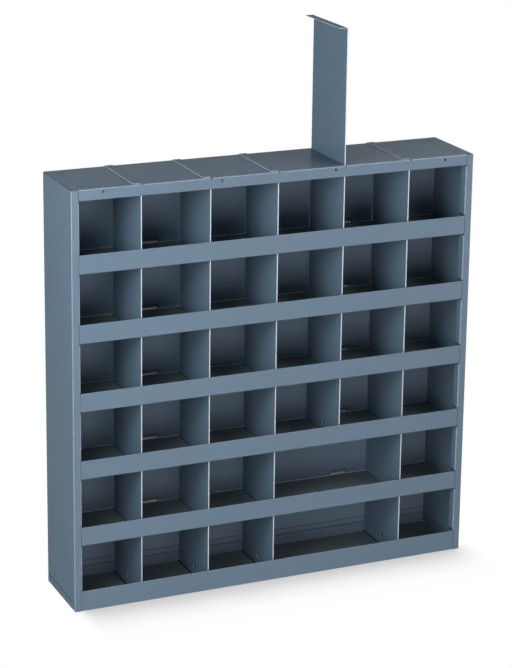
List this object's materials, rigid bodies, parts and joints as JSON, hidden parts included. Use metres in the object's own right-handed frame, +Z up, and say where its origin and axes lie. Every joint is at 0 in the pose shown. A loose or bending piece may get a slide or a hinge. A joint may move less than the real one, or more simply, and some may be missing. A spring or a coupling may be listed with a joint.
{
  "type": "pigeonhole bin unit",
  "caption": "Open-front steel storage unit with a grid of pigeonhole compartments; upright dividers slide in from above through slots in the top and the shelves.",
  "frame": {"origin": "on the ground below the middle of the casing", "axes": "+Z up, +X to the right seen from the open front, +Y to the rear; the open front faces -Y"},
  "size_m": [0.858, 0.165, 1.1306],
  "materials": {
    "side_enamel": "glossy blue-grey baked enamel on steel sheet",
    "top_enamel": "glossy blue-grey baked enamel on steel sheet",
    "back_enamel": "glossy blue-grey baked enamel on steel sheet",
    "base_enamel": "glossy blue-grey baked enamel on steel sheet",
    "shelf_enamel": "glossy blue-grey baked enamel on steel sheet",
    "divider_enamel": "glossy blue-grey baked enamel on steel sheet"
  },
  "bodies": {
    "cabinet": {"left_side_panel": "side_enamel", "right_side_panel": "side_enamel", "top_panel": "top_enamel", "back_panel": "back_enamel", "base_pan": "base_enamel", "shelf_1": "shelf_enamel", "shelf_2": "shelf_enamel", "shelf_3": "shelf_enamel", "shelf_4": "shelf_enamel", "shelf_5": "shelf_enamel"},
    "divider_1": {"divider_1": "divider_enamel"},
    "divider_2": {"divider_2": "divider_enamel"},
    "divider_3": {"divider_3": "divider_enamel"},
    "divider_4": {"divider_4": "divider_enamel"},
    "divider_5": {"divider_5": "divider_enamel"}
  },
  "joints": [
    {"name": "divider_1_slide", "type": "slide", "parent": "cabinet", "child": "divider_1", "axis": [0, 0, 1], "range_m": [0, 0.86]},
    {"name": "divider_2_slide", "type": "slide", "parent": "cabinet", "child": "divider_2", "axis": [0, 0, 1], "range_m": [0, 0.86]},
    {"name": "divider_3_slide", "type": "slide", "parent": "cabinet", "child": "divider_3", "axis": [0, 0, 1], "range_m": [0, 0.86]},
    {"name": "divider_4_slide", "type": "slide", "parent": "cabinet", "child": "divider_4", "axis": [0, 0, 1], "range_m": [-0.2724, 0.5876]},
    {"name": "divider_5_slide", "type": "slide", "parent": "cabinet", "child": "divider_5", "axis": [0, 0, 1], "range_m": [0, 0.86]}
  ]
}
